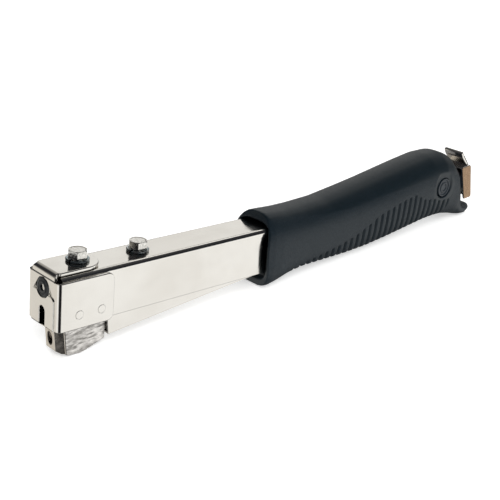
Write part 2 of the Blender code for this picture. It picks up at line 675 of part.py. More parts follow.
def helix(radius, wire, start, end, turns, sides=5, steps=8):
    """A coil along X, as a closed tube."""
    rings = []
    count = turns * steps
    for k in range(count + 1):
        angle = 2 * math.pi * k / steps
        x = start + (end - start) * k / count
        out = Vector((0, math.cos(angle), math.sin(angle)))
        ring = []
        for m in range(sides):
            turn = 2 * math.pi * m / sides
            ring.append(Vector((x + wire * math.sin(turn), 0, 0)) + out * (radius + wire * math.cos(turn)))
        rings.append(ring)
    return loft(rings)


def make_pusher_spring(build, look):
    start = FOLLOWER_FRONT + FOLLOWER_LENGTH + SPRING_WIRE + GAP
    coil = helix(SPRING_RADIUS, SPRING_WIRE, start, END_BLOCK_FRONT - SPRING_WIRE - GAP, SPRING_TURNS)
    place = magazine_matrix() @ Matrix.Translation((0, 0, ROD_AXIS))
    build.add("pusher_spring", moved(coil, place), look, (PIVOT_X, 0, PIVOT_Z))


def make_latch(build, look, steel):
    """Folded rear latch with a thumb tab, turning on a pin through the end block."""
    shell = rounded([(290.0, 8.6, 0.8), (299.0, 9.6, 1.8), (305.0, -11.8, 1.2), (297.6, -12.4, 1.2)], 4)
    latch = build.add("end_latch", prism(shell, "Y", -8.6, 8.6), look, (LATCH_PIN_X, 0, LATCH_PIN_Z))
    inside = [(280, 7.2), (297.8, 8.3), (304.0, -13.5), (280, -14.0)]
    build.cut(latch, prism(inside, "Y", -7.4, 7.4))
    tab = rounded([
        (289.7, 16.9, 0.5), (291.1, 18.3, 0.5), (293.2, 15.0, 4), (296.9, 11.7, 3), (298.9, 9.2, 0.4),
        (297.2, 8.8, 0), (295.2, 10.6, 3), (291.7, 13.9, 4),
    ], 4)
    build.join(latch, prism(tab, "Y", -6.6, 6.6))
    build.cut(latch, disc((LATCH_PIN_X, LATCH_PIN_Z), 1.25, -8.2, 8.2, "Y", 20))
    pin = disc((LATCH_PIN_X, LATCH_PIN_Z), 1.0, -8.0, 8.0, "Y", 20)
    build.add("latch_pin", pin, steel, (LATCH_PIN_X, 0, LATCH_PIN_Z))


def clear_scene():
    for item in list(bpy.data.objects):
        bpy.data.objects.remove(item, do_unlink=True)


def main():
    clear_scene()
    build = Builder()
    chrome = material("chrome_plate", (0.78, 0.76, 0.73), 0.12, 1.0)
    steel = material("hardened_steel", (0.42, 0.41, 0.40), 0.38, 1.0)
    zinc = material("zinc_plate", (0.62, 0.66, 0.72), 0.30, 1.0)
    black = material("blackened_steel", (0.03, 0.03, 0.03), 0.42, 0.6)
    cast = material("ground_steel", (0.45, 0.43, 0.41), 0.55, 1.0)
    moulded = material("moulded_grip", (0.016, 0.022, 0.030), 0.55, 0.0)
    plastic = material("moulded_plastic", (0.05, 0.05, 0.055), 0.45, 0.0)

    make_upper_channel(build, chrome)
    make_head_cap(build, chrome)
    make_rivets(build, chrome)
    make_bolt(build, "cap_bolt_front", BOLT_STATIONS[0], GAP + CAP_SHEET, -4.0, zinc)
    make_bolt(build, "cap_bolt_rear", BOLT_STATIONS[1], 0.0, -5.7, zinc)
    make_washer(build, "lock_washer_front", BOLT_STATIONS[0], GAP + CAP_SHEET, zinc)
    make_washer(build, "lock_washer_rear", BOLT_STATIONS[1], 0.0, zinc)
    make_spring_nut(build, steel)
    make_return_spring(build, steel)
    make_driver(build, steel, black)
    make_grip(build, moulded)
    make_pivot(build, steel, plastic)
    make_magazine_channel(build, chrome)
    make_staple_rail(build, steel)
    make_nose_block(build, cast)
    make_nose_plate(build, steel)
    make_pusher(build, steel, plastic)
    make_pusher_spring(build, steel)
    make_latch(build, chrome, steel)


main()
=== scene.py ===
"""Looks for the hammer tacker: fine edges, moulded grip with its ribs, and the metal finishes.

Places written as (x, y, z) in millimetres are in the channel's own frame: x runs back from the head,
z is up from the top of the channel, y is across. place() turns them into the row frame.
"""

import json
import math

import bmesh
import bpy
import numpy as np
from mathutils import Matrix, Vector

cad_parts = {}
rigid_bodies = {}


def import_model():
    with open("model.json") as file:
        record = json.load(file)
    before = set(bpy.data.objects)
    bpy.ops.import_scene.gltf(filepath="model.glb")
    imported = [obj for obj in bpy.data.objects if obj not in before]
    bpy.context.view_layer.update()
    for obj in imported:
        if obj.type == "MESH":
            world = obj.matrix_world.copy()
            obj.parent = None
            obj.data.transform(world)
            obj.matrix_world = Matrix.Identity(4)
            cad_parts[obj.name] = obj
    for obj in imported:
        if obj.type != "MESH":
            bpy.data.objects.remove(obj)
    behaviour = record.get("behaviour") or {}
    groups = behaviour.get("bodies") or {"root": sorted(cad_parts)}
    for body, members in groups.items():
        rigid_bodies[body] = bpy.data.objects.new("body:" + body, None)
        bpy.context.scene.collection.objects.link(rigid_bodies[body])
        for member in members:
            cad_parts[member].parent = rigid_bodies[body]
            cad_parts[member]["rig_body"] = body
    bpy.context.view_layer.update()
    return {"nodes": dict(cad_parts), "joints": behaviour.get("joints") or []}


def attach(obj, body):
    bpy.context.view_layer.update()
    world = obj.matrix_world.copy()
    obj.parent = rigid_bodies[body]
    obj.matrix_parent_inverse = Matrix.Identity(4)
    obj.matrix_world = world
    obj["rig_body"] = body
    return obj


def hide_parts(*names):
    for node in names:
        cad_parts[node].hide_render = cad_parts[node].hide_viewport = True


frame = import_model()
NODES = frame["nodes"]
JOINTS = {joint["name"]: joint for joint in frame["joints"]}

MM = 0.001
CHANNEL_TILT = math.radians(3.5)
PIVOT = Vector(JOINTS["magazine_swing"]["pos_m"])
PIVOT_X, PIVOT_Z = 264.7, 1.77

CHANNEL_HALF = 10.0

# Cap bolts and their spring washers, front one first. A ring of the head that is oversize is cut back
# to the hexagon, its chamfer and its foot. The washer's split is in degrees.
BOLT_NAMES = ("front", "rear")
BOLT_STATIONS = (17.0, 49.6)
BOLT_SEATS = (2.0, 0.0)
BOLT_TIPS = (-5.9, -5.6)
BOLT_HEX_ACROSS = 8.0
BOLT_HEAD = 3.4
BOLT_OVERSIZE = 9.0
BOLT_GAP = 0.3
SHANK_RADIUS = 2.5
WASHER_BORE = 2.75
WASHER_RADIUS = 5.2
WASHER_WIRE = 1.22
WASHER_HEIGHT = 1.5
WASHER_SPLIT = 10.0

SCREW_X, SCREW_Z = 0.8, -6.7
SOCKET_ACROSS = 3.0
SOCKET_RINGS = (1.7, 1.75)  # the radii in the screw's outline that stand for the hexagon socket

# Smallest flat that is a side flange of the latch, in square millimetres
FLANGE_AREA = 40.0

# Skin of the grip: size of its small faces, and rounds of smoothing over all of it and over its body
GRIP_FACE = 0.5
GRIP_ROUNDS = 3
BODY_ROUNDS = 60
BODY_START = (127, 134)
BODY_END = (277, 283)
BODY_FROM_PLUG = (9.5, 12)

# Hollow that the channel and the magazine sit in
HOLLOW_HALF = CHANNEL_HALF + 0.9
HOLLOW_FLOOR_X = (119, 140, 176, 205, 262, 290, 310)
HOLLOW_FLOOR_Z = (-28, -26, -21.6, -18.4, -14, -16.6, -17)
HOLLOW_ROOF_X = (119, 176, 247, 261, 310)
HOLLOW_ROOF_Z = (1.3, 1.3, 7.8, 9.8, 11.4)

# Ribs of the grip: grooves a pitch apart, from the first station to the last, under a curved upper limit
GRIP_HALF = 14.8
RIB_PITCH = 4.78
RIB_FIRST = 142.0
RIB_LAST = 271.3
RIB_DEPTH = 1.05
RIB_HALF_WIDTH = 0.85
RIB_LEAN = 0.75
RIB_FADE = 1.2
RIB_FROM_PLUG = (8.4, 9.6)
RIB_TOP_X = (138, 150, 162, 176, 188, 198, 207, 226, 237, 248, 270, 276)
RIB_TOP_Z = (-26, -22.5, -20.3, -17.5, -14.2, -9.9, -5.2, 0.1, 2.0, -2.6, -4.8, -9.0)

# Line where the smooth top meets the pebbled sides, and the pebbled stretch
MEETING_X = (118, 142, 165, 189, 206, 236, 262, 290)
MEETING_Z = (4.0, 3.6, 1.4, 2.0, 4.6, 7.6, 9.5, 6.0)
PEBBLED_START, PEBBLED_END = 123, 285
PEBBLED_FROM_PLUG = 10.5


def place(x, y, z):
    """A channel-frame place in millimetres, in the row frame."""
    turn = Matrix.Rotation(CHANNEL_TILT, 3, "Y")
    return PIVOT + turn @ (Vector((x - PIVOT_X, y, z - PIVOT_Z)) * MM)


def channel_places(points):
    """Row-frame points (n by 3, metres) as channel-frame millimetres."""
    turn = np.array(Matrix.Rotation(CHANNEL_TILT, 3, "Y"))
    local = (np.asarray(points) - np.array(PIVOT)) @ turn / MM
    return local + np.array((PIVOT_X, 0.0, PIVOT_Z))


# --- Materials --------------------------------------------------------------------------------


class Finish:
    """A procedural material: a Principled shader with textures measured in the object's own metres."""

    def __init__(self, name, colour, roughness, metallic):
        self.material = bpy.data.materials.new(name)
        self.material.use_nodes = True
        self.nodes = self.material.node_tree.nodes
        self.links = self.material.node_tree.links
        self.shader = self.nodes["Principled BSDF"]
        self.shader.inputs["Base Color"].default_value = (*colour, 1)
        self.shader.inputs["Roughness"].default_value = roughness
        self.shader.inputs["Metallic"].default_value = metallic
        self.coordinates = self.nodes.new("ShaderNodeTexCoord").outputs["Object"]
        self.height = None

    def stretched(self, stretch):
        mapping = self.nodes.new("ShaderNodeMapping")
        mapping.inputs["Scale"].default_value = stretch
        self.links.new(self.coordinates, mapping.inputs["Vector"])
        return mapping.outputs["Vector"]

    def noise(self, scale, detail=3.0, stretch=(1, 1, 1)):
        made = self.nodes.new("ShaderNodeTexNoise")
        made.inputs["Scale"].default_value = scale
        made.inputs["Detail"].default_value = detail
        self.links.new(self.stretched(stretch), made.inputs["Vector"])
        return made.outputs["Fac"]

    def cells(self, scale, stretch=(1, 1, 1)):
        made = self.nodes.new("ShaderNodeTexVoronoi")
        made.inputs["Scale"].default_value = scale
        self.links.new(self.stretched(stretch), made.inputs["Vector"])
        return made.outputs["Distance"]

    def between(self, value, low, high, start=0.35, end=0.65):
        """A colour ramp from low to high over a stretch of the value."""
        ramp = self.nodes.new("ShaderNodeValToRGB")
        first, last = ramp.color_ramp.elements
        first.position, last.position = start, end
        first.color = (*low, 1)
        last.color = (*high, 1)
        self.links.new(value, ramp.inputs["Fac"])
        return ramp.outputs["Color"]

    def colour(self, value, low, high, start=0.35, end=0.65):
        self.links.new(self.between(value, low, high, start, end), self.shader.inputs["Base Color"])

    def roughness(self, value, low, high, start=0.35, end=0.65):
        grey = self.between(value, (low,) * 3, (high,) * 3, start, end)
        self.links.new(grey, self.shader.inputs["Roughness"])

    def bump(self, value, strength, depth):
        """Adds relief of a depth in metres on top of any relief already there."""
        made = self.nodes.new("ShaderNodeBump")
        made.inputs["Strength"].default_value = strength
        made.inputs["Distance"].default_value = depth
        self.links.new(value, made.inputs["Height"])
        if self.height is not None:
            self.links.new(self.height, made.inputs["Normal"])
        self.height = made.outputs["Normal"]
        self.links.new(self.height, self.shader.inputs["Normal"])


def chrome_finish(name):
    """Bright warm plating with a faint waviness, hairline marks and handling smears."""
    made = Finish(name, (0.83, 0.80, 0.76), 0.13, 1.0)
    made.colour(made.noise(45, 4), (0.80, 0.77, 0.725), (0.86, 0.835, 0.795))
    made.roughness(made.noise(160, 5, (0.35, 1, 1)), 0.10, 0.19)
    made.bump(made.noise(90, 2), 0.05, 0.0006)
    made.bump(made.noise(1200, 4, (0.06, 1, 1)), 0.03, 0.0002)
    return made.material


def steel_finish():
    """Hardened steel with grinding lines along it and a trace of oil."""
    made = Finish("hardened_steel_ground", (0.46, 0.44, 0.42), 0.34, 1.0)
    made.colour(made.noise(300, 5, (0.12, 1, 1)), (0.36, 0.345, 0.33), (0.56, 0.54, 0.51))
    made.roughness(made.noise(240, 4), 0.26, 0.42)
    made.bump(made.noise(2200, 3, (0.05, 1, 1)), 0.22, 0.0001)
    return made.material


def nose_steel_finish():
    """Polished nose front, slightly brown from heat."""
    made = Finish("nose_front_polished", (0.62, 0.57, 0.51), 0.2, 1.0)
    made.colour(made.noise(180, 4), (0.55, 0.50, 0.44), (0.70, 0.65, 0.59))
    made.roughness(made.noise(420, 4), 0.15, 0.30)
    made.bump(made.noise(900, 4, (1, 1, 0.1)), 0.10, 0.0001)
    return made.material


def ground_finish():
    """Coarsely ground block: bright torn streaks that run along the tool, with dark pits between."""
    made = Finish("ground_steel_streaked", (0.66, 0.64, 0.61), 0.34, 1.0)
    streaks = made.noise(520, 8, (0.45, 1, 1.5))
    made.colour(streaks, (0.30, 0.285, 0.27), (0.90, 0.87, 0.84), 0.36, 0.60)
    made.roughness(made.noise(900, 5, (0.5, 1, 1)), 0.24, 0.48)
    made.bump(streaks, 0.55, 0.00035)
    made.bump(made.noise(2600, 4, (0.3, 1, 1)), 0.35, 0.0001)
    return made.material


def zinc_finish():
    """Clear zinc with its faint blue and straw tones."""
    made = Finish("zinc_blue", (0.42, 0.47, 0.50), 0.2, 1.0)
    made.colour(made.noise(420, 3), (0.34, 0.42, 0.46), (0.56, 0.57, 0.56), 0.40, 0.62)
    made.roughness(made.noise(700, 4), 0.18, 0.34)
    made.bump(made.noise(900, 2), 0.04, 0.0001)
    return made.material


def bolt_finish():
    """Bright head of a plated bolt."""
    made = Finish("bolt_plate", (0.74, 0.72, 0.68), 0.2, 1.0)
    made.colour(made.noise(900, 4), (0.60, 0.585, 0.55), (0.90, 0.88, 0.85))
    made.roughness(made.noise(900, 4), 0.12, 0.26)
    made.bump(made.noise(1100, 3), 0.035, 0.0001)
    return made.material


def black_finish():
    """Black oxide, worn a little grey."""
    made = Finish("black_oxide", (0.012, 0.014, 0.017), 0.36, 0.2)
    made.colour(made.noise(800, 4), (0.006, 0.008, 0.010), (0.022, 0.026, 0.032), 0.45, 0.75)
    made.roughness(made.noise(1200, 3), 0.32, 0.5)
    made.bump(made.noise(2500, 3), 0.15, 0.00008)
    return made.material


def flange_finish():
    """Yellow-passivated sides of the latch, finely speckled."""
    made = Finish("yellow_passivated", (0.42, 0.27, 0.16), 0.42, 0.85)
    made.colour(made.noise(2600, 3), (0.30, 0.185, 0.11), (0.50, 0.34, 0.21), 0.38, 0.62)
    made.roughness(made.noise(1800, 3), 0.36, 0.5)
    made.bump(made.noise(3000, 2), 0.12, 0.00006)
    return made.material


def satin_finish():
    """Smooth upper skin of the grip."""
    made = Finish("grip_satin", (0.005, 0.011, 0.016), 0.4, 0.0)
    made.colour(made.noise(420, 3), (0.0045, 0.0105, 0.015), (0.0055, 0.0125, 0.018))
    made.roughness(made.noise(600, 4), 0.42, 0.46)
    made.bump(made.noise(3200, 2), 0.08, 0.00006)
    return made.material


def grained_finish():
    """Pebbled lower skin of the grip."""
    made = Finish("grip_grained", (0.008, 0.015, 0.021), 0.46, 0.0)
    pebbles = made.cells(1900)
    made.colour(pebbles, (0.010, 0.019, 0.027), (0.005, 0.011, 0.016), 0.1, 0.7)
    made.roughness(made.noise(1500, 3), 0.46, 0.58)
    made.bump(pebbles, 0.35, 0.00018)
    made.bump(made.noise(4200, 2), 0.12, 0.00006)
    return made.material


def plastic_finish():
    """Moulded plug and follower."""
    made = Finish("moulded_plug", (0.014, 0.021, 0.028), 0.4, 0.0)
    made.colour(made.noise(400, 3), (0.012, 0.018, 0.025), (0.020, 0.028, 0.037))
    made.roughness(made.noise(700, 3), 0.34, 0.46)
    made.bump(made.noise(3000, 3), 0.12, 0.00006)
    return made.material


# --- Shapes -----------------------------------------------------------------------------------


def stand_for(piece, node, finish=None):
    """The piece takes a CAD node's place and body, and a finish, when one is given, in place of any it
    has.
    """
    if finish is not None:
        piece.data.materials.clear()
        piece.data.materials.append(finish)
    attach(piece, NODES[node]["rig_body"])
    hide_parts(node)
    return piece


def linked(name, mesh):
    data = bpy.data.meshes.new(name)
    mesh.to_mesh(data)
    mesh.free()
    made = bpy.data.objects.new(name, data)
    bpy.context.scene.collection.objects.link(made)
    return made


def welded_copy(node):
    """The CAD node's surface as a clean bmesh: corners welded and flat triangles merged."""
    mesh = bmesh.new()
    mesh.from_mesh(NODES[node].data)
    bmesh.ops.remove_doubles(mesh, verts=mesh.verts, dist=2e-6)
    bmesh.ops.dissolve_limit(
        mesh, angle_limit=math.radians(0.6), verts=mesh.verts, edges=mesh.edges, delimit={"MATERIAL"}
    )
    for layer in list(mesh.loops.layers.float_vector):
        mesh.loops.layers.float_vector.remove(layer)
    return mesh


def fine_copy(node):
    """A new piece with the CAD node's surface, without the normals that came with it."""
    piece = linked(f"{node}_fine", welded_copy(node))
    attribute = piece.data.attributes.get("custom_normal")
    if attribute is not None:
        piece.data.attributes.remove(attribute)
    return piece


def weigh_edges(piece, angle, fine):
    """Marks the sharp edges for rounding, except those whose middle is in the fine region."""
    mesh = bmesh.new()
    mesh.from_mesh(piece.data)
    weights = []
    for edge in mesh.edges:
        sharp = len(edge.link_faces) == 2 and edge.calc_face_angle(0) > math.radians(angle)
        middle = (edge.verts[0].co + edge.verts[1].co) / 2
        small = fine is not None and fine(*channel_places([middle])[0])
        weights.append(1.0 if sharp and not small else 0.0)
    mesh.free()
    piece.data.attributes.new("bevel_weight_edge", "FLOAT", "EDGE").data.foreach_set("value", weights)


def finished_edges(piece, width, segments=3, angle=28, fine=None):
    """Rounded sheet edges with shading that stays flat on the flats."""
    weigh_edges(piece, angle, fine)
    bevel = piece.modifiers.new("Edges", "BEVEL")
    bevel.width = width * MM
    bevel.segments = segments
    bevel.limit_method = "WEIGHT"
    bevel.use_clamp_overlap = False
    piece.data.shade_smooth()
    weighted = piece.modifiers.new("Flats", "WEIGHTED_NORMAL")
    weighted.weight = 100
    weighted.keep_sharp = False


def refined(node, finish, width, segments=3, angle=28, fine=None):
    """A CAD node's shape with real edges."""
    piece = fine_copy(node)
    finished_edges(piece, width, segments, angle, fine)
    return stand_for(piece, node, finish)


def make_latch(chrome, flange):
    """Folded latch: bright all over but for the flat of each side flange."""
    latch = refined("end_latch", chrome, 0.5, 4)
    latch.data.materials.append(flange)
    reach = max(abs(vertex.co.y) for vertex in latch.data.vertices)
    for polygon in latch.data.polygons:
        sideways = abs(polygon.normal.y) > 0.9
        outermost = abs(polygon.center.y) > reach - 0.3 * MM
        if sideways and outermost and polygon.area > FLANGE_AREA * MM * MM:
            polygon.material_index = 1


def dial(rings, segments, radius_at):
    """A solid from rings of (z, radius): radius_at(angle, z, radius) gives each point's reach."""
    mesh = bmesh.new()
    loops = []
    for z, radius in rings:
        if radius == 0:
            loops.append([mesh.verts.new((0, 0, z * MM))])
            continue
        loop = []
        for k in range(segments):
            angle = 2 * math.pi * k / segments
            reach = radius_at(angle, z, radius) * MM
            loop.append(mesh.verts.new((reach * math.cos(angle), reach * math.sin(angle), z * MM)))
        loops.append(loop)
    for first, second in zip(loops, loops[1:]):
        for k in range(segments):
            n = (k + 1) % segments
            corners = [first[k % len(first)], first[n % len(first)]]
            corners += [second[n % len(second)], second[k % len(second)]]
            mesh.faces.new(list(dict.fromkeys(corners)))
    bmesh.ops.recalc_face_normals(mesh, faces=mesh.faces)
    return mesh


def set_on(piece, x, y, z, turn=None):
    """Moves a piece made round its own origin to a channel-frame place, turned with the channel."""
    matrix = Matrix.Translation(place(x, y, z)) @ Matrix.Rotation(CHANNEL_TILT, 4, "Y")
    if turn is not None:
        matrix = matrix @ turn
    piece.data.transform(matrix)
    return piece


def shade(piece, angle=30):
    piece.data.shade_smooth()
    piece.data.set_sharp_from_angle(angle=math.radians(angle))


def hexagon_reach(angle, across):
    """Distance from the centre to a hexagon's side in that direction."""
    off = (angle + math.radians(30)) % math.radians(60) - math.radians(30)
    return across / 2 / math.cos(off)


def make_bolts(finish):
    """Hexagon heads with the curved chamfer that turning leaves, on their shanks."""
    for name, station, seat, tip in zip(BOLT_NAMES, BOLT_STATIONS, BOLT_SEATS, BOLT_TIPS):
        base = seat + WASHER_HEIGHT + BOLT_GAP
        top = base + BOLT_HEAD
        rings = [(tip, 0), (tip, SHANK_RADIUS - 0.2), (-5.3, SHANK_RADIUS)]
        rings += [(base, SHANK_RADIUS), (base, 4.3)]
        rings += [(base + h, BOLT_OVERSIZE) for h in (0.3, 1.2, 2.2, 2.7, 2.9, 3.05, 3.2, 3.3, BOLT_HEAD)]
        rings += [(top, 3.7), (top - 0.08, 3.45), (top - 0.18, 3.2), (top - 0.18, 3.0), (top - 0.18, 0)]

        def reach(angle, z, radius, top=top):
            if radius < BOLT_OVERSIZE:
                return radius
            flat = hexagon_reach(angle + math.radians(30), BOLT_HEX_ACROSS - 0.02)
            chamfer = 3.95 + (top - z) * 1.9
            foot = 4.35 + (z - top + BOLT_HEAD) * 3.0
            return min(flat, chamfer, foot)

        bolt = linked(f"cap_bolt_{name}_fine", dial(rings, 72, reach))
        set_on(bolt, station, 0, 0, Matrix.Rotation(math.radians(-5), 4, "Z"))
        shade(bolt, 16)
        stand_for(bolt, f"cap_bolt_{name}", finish)


def washer_section():
    """Square wire with broken corners, as (radius, z), from its inner foot round to its inner top."""
    inner, outer = WASHER_BORE + 0.2, WASHER_RADIUS - 0.25
    foot = [(WASHER_BORE, 0.1), (inner, 0.0), (outer, 0.0), (WASHER_RADIUS, 0.22)]
    top = [(WASHER_RADIUS, 1.0), (outer, WASHER_WIRE), (inner, WASHER_WIRE), (WASHER_BORE, 1.1)]
    return foot + top


def spring_washer(seat, steps=64):
    """A split ring of square wire that climbs a little from one end to the other."""
    mesh = bmesh.new()
    split = math.radians(WASHER_SPLIT)
    section = washer_section()
    loops = []
    for k in range(steps + 1):
        share = k / steps
        angle = split / 2 + share * (2 * math.pi - split)
        lift = 0.22 * share + 0.06
        loop = []
        for radius, z in section:
            spot = (radius * math.cos(angle), radius * math.sin(angle), seat + z + lift)
            loop.append(mesh.verts.new([c * MM for c in spot]))
        loops.append(loop)
    for first, second in zip(loops, loops[1:]):
        for i in range(len(section)):
            j = (i + 1) % len(section)
            mesh.faces.new((first[i], first[j], second[j], second[i]))
    mesh.faces.new(loops[0])
    mesh.faces.new(loops[-1])
    bmesh.ops.recalc_face_normals(mesh, faces=mesh.faces)
    return mesh


def make_washers(finish):
    for name, station, seat in zip(BOLT_NAMES, BOLT_STATIONS, BOLT_SEATS):
        washer = linked(f"lock_washer_{name}_fine", spring_washer(seat))
        set_on(washer, station, 0, 0, Matrix.Rotation(math.radians(195), 4, "Z"))
        shade(washer, 40)
        stand_for(washer, f"lock_washer_{name}", finish)


def make_driver_screw(finish):
    """Socket screw: a domed rim, a raised ring and the hexagon socket down its middle."""
    shank = [(-20, 0), (-20, 1.8), (-19.8, 2.0), (0.0, 2.0), (0.0, 4.6), (0.1, 4.7), (0.7, 4.7)]
    rim = [(0.84, 4.6), (0.98, 4.3), (1.22, 3.4), (1.25, 3.2)]
    ring = [(1.1, 3.05), (1.1, 2.9), (1.3, 2.7), (1.35, 2.5), (1.35, 1.95)]
    socket = [(1.25, 1.75), (1.2, 1.7), (-0.6, 1.7), (-0.75, 0.9), (-0.8, 0)]

    def reach(angle, z, radius):
        return hexagon_reach(angle, SOCKET_ACROSS) if radius in SOCKET_RINGS else radius

    screw = linked("driver_screw_fine", dial(shank + rim + ring + socket, 60, reach))
    set_on(screw, SCREW_X, 0, SCREW_Z, Matrix.Rotation(math.radians(-90), 4, "Y"))
    shade(screw, 30)
    stand_for(screw, "driver_screw", finish)


# --- Grip -------------------------------------------------------------------------------------


def vectors(elements, name):
    """One vector of each element of a mesh, as an n by 3 array."""
    values = np.empty(len(elements) * 3)
    elements.foreach_get(name, values)
    return values.reshape(-1, 3)


def applied(piece):
    """Turns the piece's modifiers into its mesh."""
    graph = bpy.context.evaluated_depsgraph_get()
    data = bpy.data.meshes.new_from_object(piece.evaluated_get(graph))
    piece.modifiers.clear()
    piece.data = data


def smoothstep(value, start, end):
    share = np.clip((value - start) / (end - start), 0, 1)
    return share * share * (3 - 2 * share)


def from_plug(x, z, rise=0.0):
    """Distance along the side of the grip from the plug over the pivot, or from a little above it."""
    return np.hypot(x - PIVOT_X, z - PIVOT_Z - rise)


def outside(places):
    """Whether each point is on the outer skin, not in the hollow for the channel and the magazine."""
    x, y, z = places.T
    below = z < np.interp(x, HOLLOW_FLOOR_X, HOLLOW_FLOOR_Z)
    above = z > np.interp(x, HOLLOW_ROOF_X, HOLLOW_ROOF_Z)
    return (np.abs(y) > HOLLOW_HALF) | below | above


def body_share(places):
    """Where the grip is a plain smooth body: away from its mouth, its plugs, its heel and its hollow."""
    x, y, z = places.T
    along = smoothstep(x, *BODY_START) * (1 - smoothstep(x, *BODY_END))
    clear = smoothstep(from_plug(x, z, 1.0), *BODY_FROM_PLUG)
    return along * clear * outside(places)


def grip_skin():
    """The CAD grip as an even skin of small faces, relaxed a little all over and a lot on its body."""
    piece = fine_copy("grip")
    remesh = piece.modifiers.new("Even", "REMESH")
    remesh.mode = "VOXEL"
    remesh.voxel_size = GRIP_FACE * MM
    applied(piece)
    group = piece.vertex_groups.new(name="Body")
    shares = body_share(channel_places([vertex.co for vertex in piece.data.vertices]))
    for index, share in enumerate(shares):
        if share > 0:
            group.add([index], float(share), "REPLACE")
    for name, rounds, only in (("Relax", GRIP_ROUNDS, ""), ("Even", BODY_ROUNDS, "Body")):
        relax = piece.modifiers.new(name, "SMOOTH")
        relax.factor = 0.5
        relax.iterations = rounds
        relax.vertex_group = only
    applied(piece)
    piece.vertex_groups.clear()
    return piece


def rib_depth(places, normals):
    """How far each point of the grip's skin sinks into a groove, in millimetres."""
    x, y, z = places.T
    phase = (x - RIB_LEAN * (GRIP_HALF - np.abs(y)) - RIB_FIRST) / RIB_PITCH
    off = (phase - np.round(phase)) * RIB_PITCH
    groove = np.exp(-((off / RIB_HALF_WIDTH) ** 4))
    started = smoothstep(x, RIB_FIRST - RIB_FADE, RIB_FIRST)
    ended = smoothstep(x, RIB_LAST, RIB_LAST + RIB_FADE)
    top = np.interp(x, RIB_TOP_X, RIB_TOP_Z)
    under = 1 - smoothstep(z, top - 1.6, top)
    outward = smoothstep(normals[:, 1] * np.sign(y) - 0.5 * normals[:, 2], 0.15, 0.45)
    clear = smoothstep(from_plug(x, z, 0.8), *RIB_FROM_PLUG)
    return RIB_DEPTH * groove * started * (1 - ended) * under * outward * clear * outside(places)


def pebbled(places):
    """Whether each place is on the grained lower part of the grip's skin."""
    x, y, z = places.T
    below = z < np.interp(x, MEETING_X, MEETING_Z)
    return below & (from_plug(x, z) >= PEBBLED_FROM_PLUG) & (x > PEBBLED_START) & (x < PEBBLED_END)


def make_grip(satin, grained):
    """Moulded grip: rib grooves below, a smooth top and a pebbled lower skin that meet in a long curve."""
    grip = grip_skin()
    data = grip.data
    points = vectors(data.vertices, "co")
    normals = vectors(data.vertices, "normal")
    sunk = rib_depth(channel_places(points), normals)
    data.vertices.foreach_set("co", (points - normals * (sunk[:, None] * MM)).ravel())
    data.update()
    data.materials.clear()
    data.materials.append(satin)
    data.materials.append(grained)
    grain = pebbled(channel_places(vectors(data.polygons, "center")))
    data.polygons.foreach_set("material_index", grain.astype(np.int32))
    data.shade_smooth()
    stand_for(grip, "grip")


# --- Studio -----------------------------------------------------------------------------------


def make_floor():
    mesh = bmesh.new()
    bmesh.ops.create_grid(mesh, x_segments=1, y_segments=1, size=6.0)
    floor = linked("floor", mesh)
    made = Finish("pale_floor", (0.9, 0.9, 0.895), 0.9, 0.0)
    made.colour(made.noise(3, 2), (0.895, 0.895, 0.89), (0.905, 0.905, 0.90))
    made.shader.inputs["Emission Color"].default_value = (1, 1, 0.995, 1)
    made.shader.inputs["Emission Strength"].default_value = 0.55
    floor.data.materials.append(made.material)
    floor.visible_glossy = False


def make_lamp(name, place_at, size, power, colour=(1, 1, 1)):
    light = bpy.data.lights.new(name, "AREA")
    light.shape = "DISK"
    light.size = size
    light.energy = power
    light.color = colour
    lamp = bpy.data.objects.new(name, light)
    lamp.location = place_at
    aim = Vector((0.0, 0.0, 0.02)) - Vector(place_at)
    lamp.rotation_mode = "QUATERNION"
    lamp.rotation_quaternion = aim.to_track_quat("-Z", "Y")
    lamp.visible_glossy = False
    bpy.context.scene.collection.objects.link(lamp)


